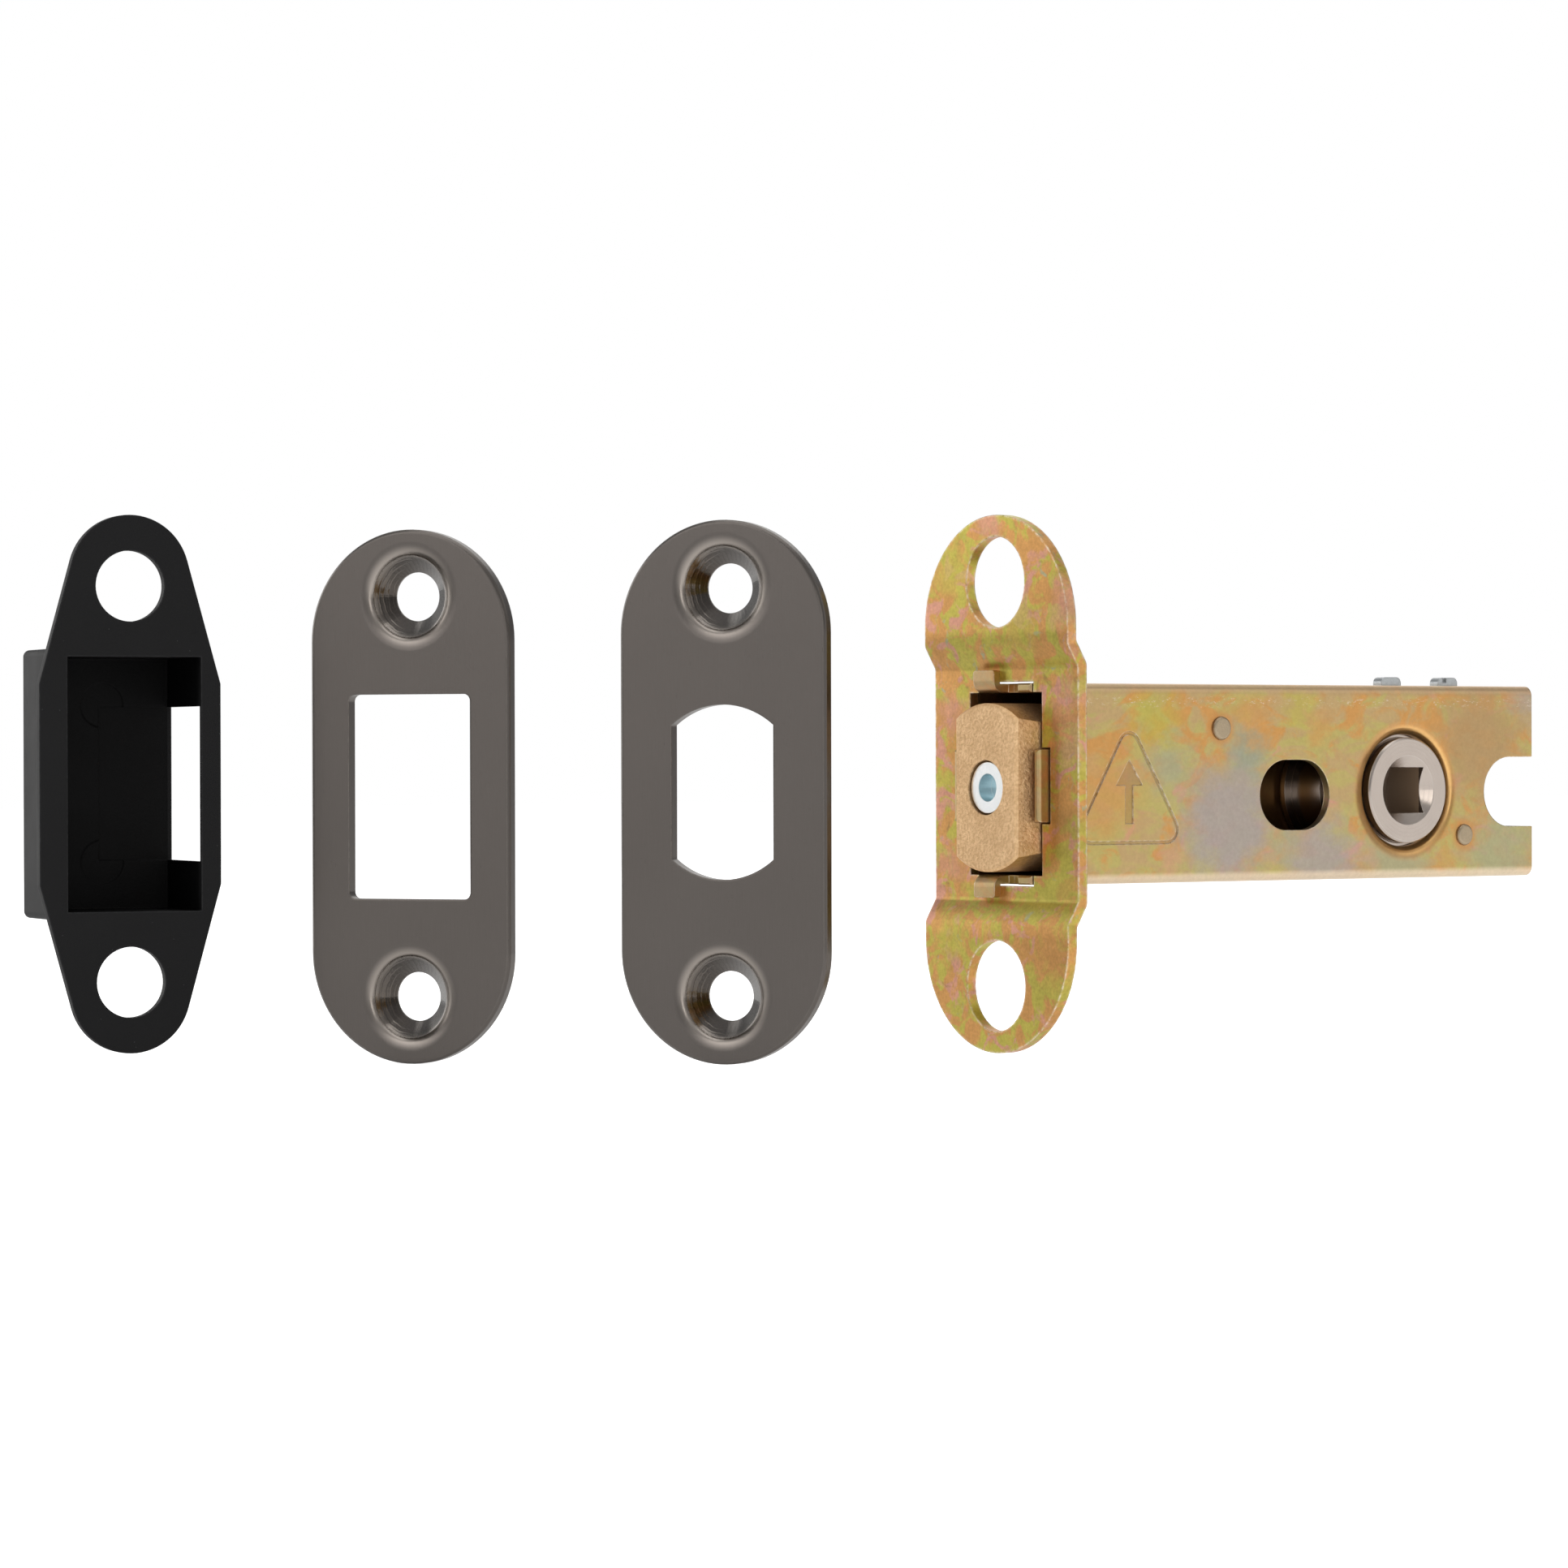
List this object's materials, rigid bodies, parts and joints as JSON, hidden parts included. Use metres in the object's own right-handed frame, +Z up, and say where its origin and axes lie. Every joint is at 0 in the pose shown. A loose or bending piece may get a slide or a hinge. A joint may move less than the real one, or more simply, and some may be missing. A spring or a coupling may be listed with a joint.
{
  "type": "tubular deadbolt",
  "caption": "Tubular mortice deadbolt with a square drive follower, shown with its cover plate, strike plate and moulded dust box standing beside it.",
  "frame": {"origin": "middle of the forend, in the front plane of its two ears", "axes": "+X into the door along the bolt, +Z up along the forend, -Y towards the side of the case that carries the arrow"},
  "size_m": [0.1634, 0.0865, 0.0616],
  "materials": {
    "black_plastic": "moulded black plastic, matt",
    "black_nickel": "satin black nickel plating",
    "zinc_yellow": "yellow passivated zinc plating, mottled",
    "rivet_steel": "dull plated steel",
    "bright_zinc": "bright zinc plating",
    "spring_steel": "plain spring steel",
    "bolt_brass": "fine grained satin brass",
    "pale_zinc": "pale blue zinc plating",
    "tail_steel": "plated sheet steel",
    "bright_nickel": "bright nickel plating"
  },
  "bodies": {
    "root": {"dust_box": "black_plastic", "strike_plate": "black_nickel", "face_plate": "black_nickel", "forend_plate": "zinc_yellow", "case_right_shell": "zinc_yellow", "case_left_shell": "zinc_yellow", "front_case_rivet": "rivet_steel", "rear_case_rivet": "rivet_steel", "spring_holder": "bright_zinc", "detent_spring": "spring_steel"},
    "bolt": {"bolt_head": "bolt_brass", "bolt_insert": "pale_zinc", "bolt_tail": "tail_steel", "tail_rivet": "rivet_steel"},
    "follower": {"follower": "bright_nickel"}
  },
  "joints": [
    {"name": "bolt_throw", "type": "slide", "parent": "root", "child": "bolt", "axis": [-1, 0, 0], "range_m": [0, 0.0125]},
    {"name": "follower_turn", "type": "hinge", "parent": "root", "child": "follower", "pos_m": [0.0555, 0, -0.00098], "axis": [0, -1, 0], "range_deg": [0, 90]}
  ],
  "couplings": [
    {"joint": "follower_turn", "follows": "bolt_throw", "rad_per_m": 125.66}
  ]
}
